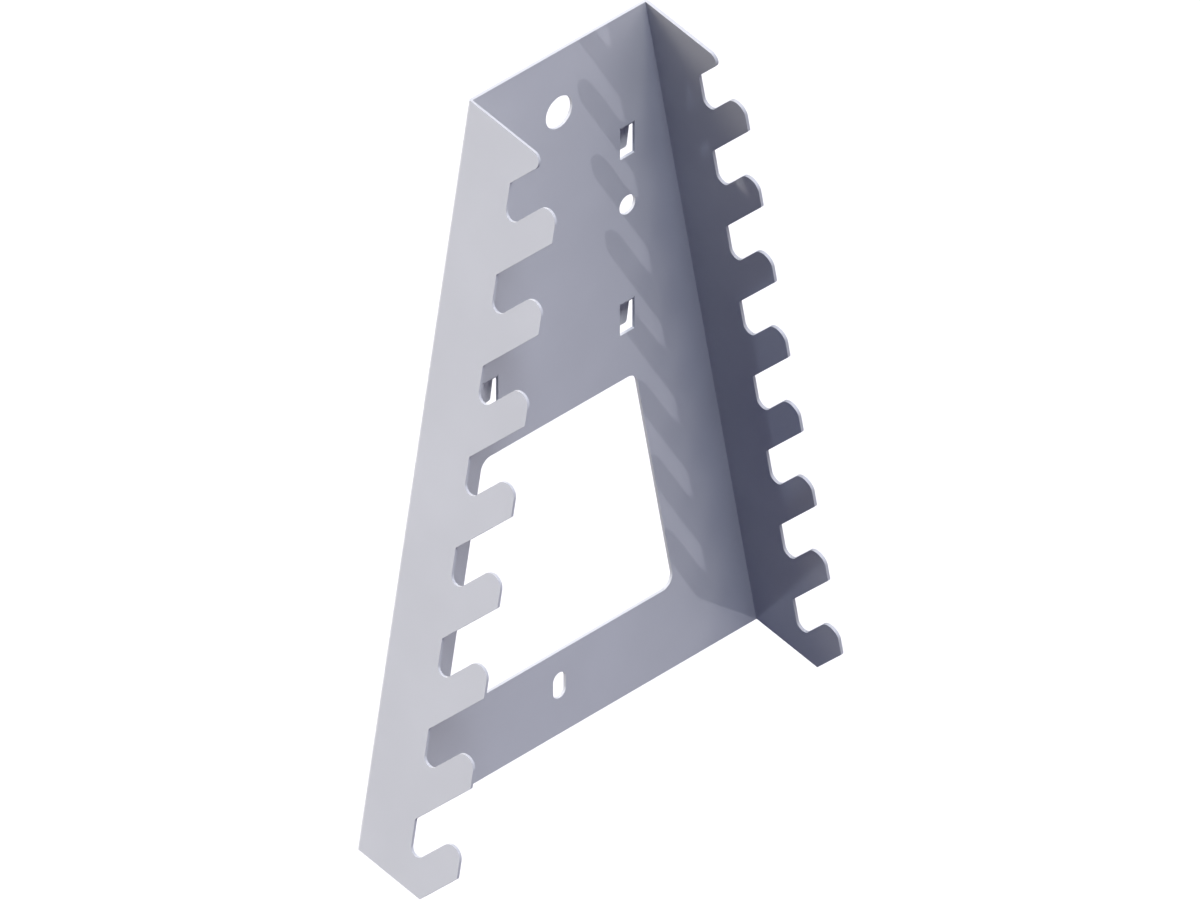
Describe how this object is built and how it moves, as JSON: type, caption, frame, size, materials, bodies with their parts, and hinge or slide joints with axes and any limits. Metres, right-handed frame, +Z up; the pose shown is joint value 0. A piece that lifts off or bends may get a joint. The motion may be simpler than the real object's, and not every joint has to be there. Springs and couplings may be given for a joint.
{
  "type": "clamp rack",
  "caption": "Sheet-metal rack for a perforated panel: a tapering back plate with a cut-out, forward flanges with slanted notches that hold tools, and rear hooks.",
  "frame": {"origin": "on the plate's flat rear face, on the centre line, at the centre of the four hook windows", "axes": "+Z up along the plate's centre line, +Y back into the panel, so the notched flanges point to -Y, and +X to the right seen from the front"},
  "size_m": [0.2022, 0.0512, 0.3032],
  "materials": {
    "grey_powder_coat": "smooth light-grey powder coat, satin"
  },
  "bodies": {
    "root": {"back_plate": "grey_powder_coat", "left_fold": "grey_powder_coat", "right_fold": "grey_powder_coat", "left_flange": "grey_powder_coat", "right_flange": "grey_powder_coat", "upper_left_hook": "grey_powder_coat", "upper_right_hook": "grey_powder_coat", "lower_left_hook": "grey_powder_coat", "lower_right_hook": "grey_powder_coat"}
  },
  "joints": []
}
